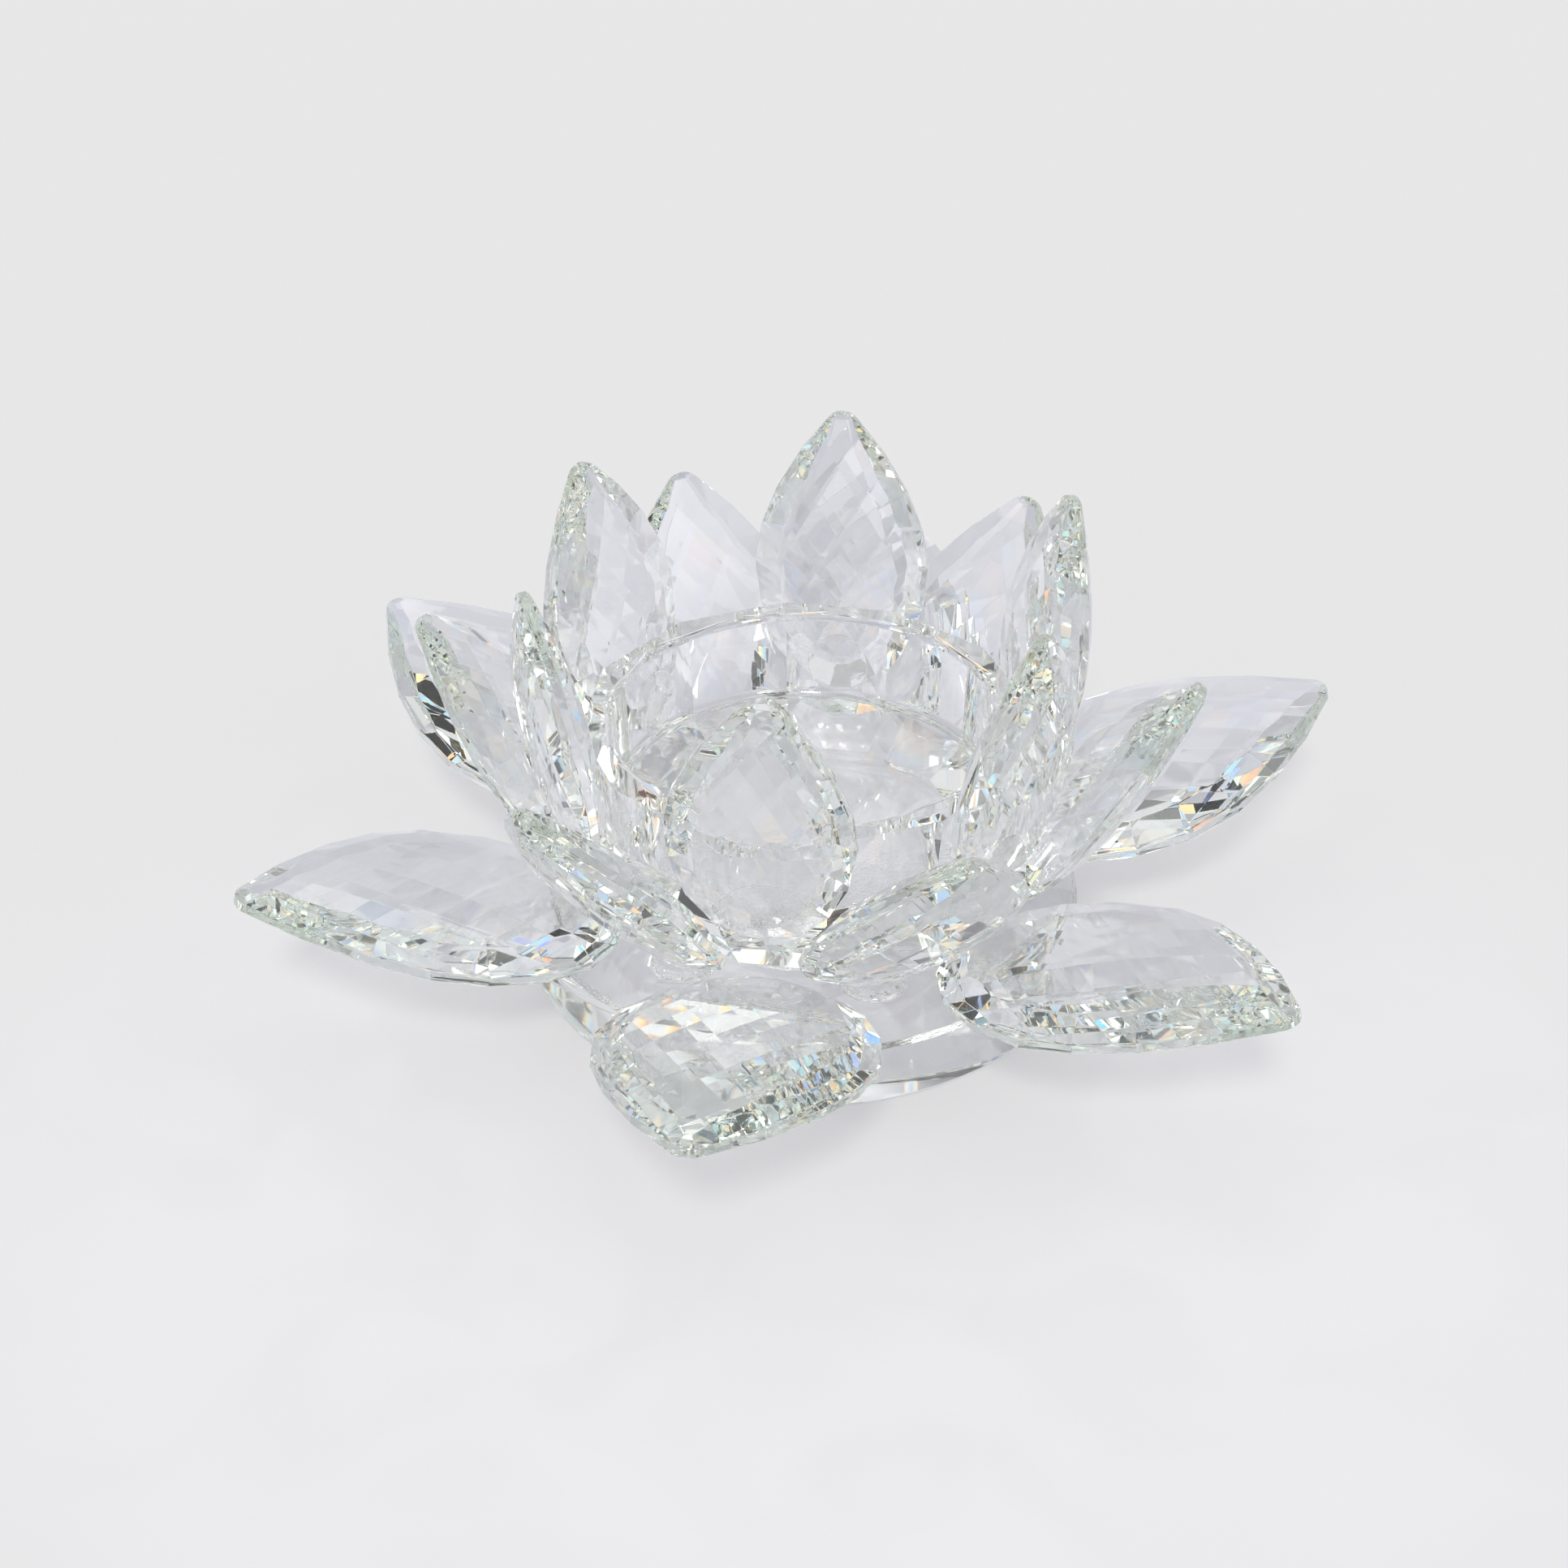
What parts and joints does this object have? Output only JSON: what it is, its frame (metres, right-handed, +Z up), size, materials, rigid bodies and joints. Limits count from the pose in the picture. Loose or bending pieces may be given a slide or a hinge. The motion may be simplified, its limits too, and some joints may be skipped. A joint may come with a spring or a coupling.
{
  "type": "tealight holder",
  "caption": "Lotus tealight holder in faceted clear glass: tiers of cut petals bonded around a round candle cup on a disc base.",
  "frame": {"origin": "centre of the base disc's underside, on the surface that the holder stands on", "axes": "+Z up along the candle cup's axis; -Y towards the side that the picture shows nearest"},
  "size_m": [0.1291, 0.1339, 0.054],
  "materials": {
    "petal_glass": "cut and polished clear glass",
    "cup_glass": "cut and polished clear glass",
    "base_glass": "polished clear glass with a finely ground top edge",
    "clear_adhesive": "cured clear adhesive"
  },
  "bodies": {
    "root": {"base_disc": "base_glass", "foot_glue": "clear_adhesive", "candle_cup": "cup_glass", "lower_petal_1": "petal_glass", "lower_petal_2": "petal_glass", "lower_petal_3": "petal_glass", "lower_petal_4": "petal_glass", "lower_petal_5": "petal_glass", "lower_petal_6": "petal_glass", "lower_glue_1": "clear_adhesive", "lower_glue_2": "clear_adhesive", "lower_glue_3": "clear_adhesive", "lower_glue_4": "clear_adhesive", "lower_glue_5": "clear_adhesive", "lower_glue_6": "clear_adhesive", "middle_petal_1": "petal_glass", "middle_petal_2": "petal_glass", "middle_petal_3": "petal_glass", "middle_petal_4": "petal_glass", "middle_petal_5": "petal_glass", "middle_petal_6": "petal_glass", "middle_glue_1": "clear_adhesive", "middle_glue_2": "clear_adhesive", "middle_glue_3": "clear_adhesive", "middle_glue_4": "clear_adhesive", "middle_glue_5": "clear_adhesive", "middle_glue_6": "clear_adhesive", "upper_petal_1": "petal_glass", "upper_petal_2": "petal_glass", "upper_petal_3": "petal_glass", "upper_petal_4": "petal_glass", "upper_petal_5": "petal_glass", "upper_petal_6": "petal_glass", "upper_glue_1": "clear_adhesive", "upper_glue_2": "clear_adhesive", "upper_glue_3": "clear_adhesive", "upper_glue_4": "clear_adhesive", "upper_glue_5": "clear_adhesive", "upper_glue_6": "clear_adhesive"}
  },
  "joints": []
}
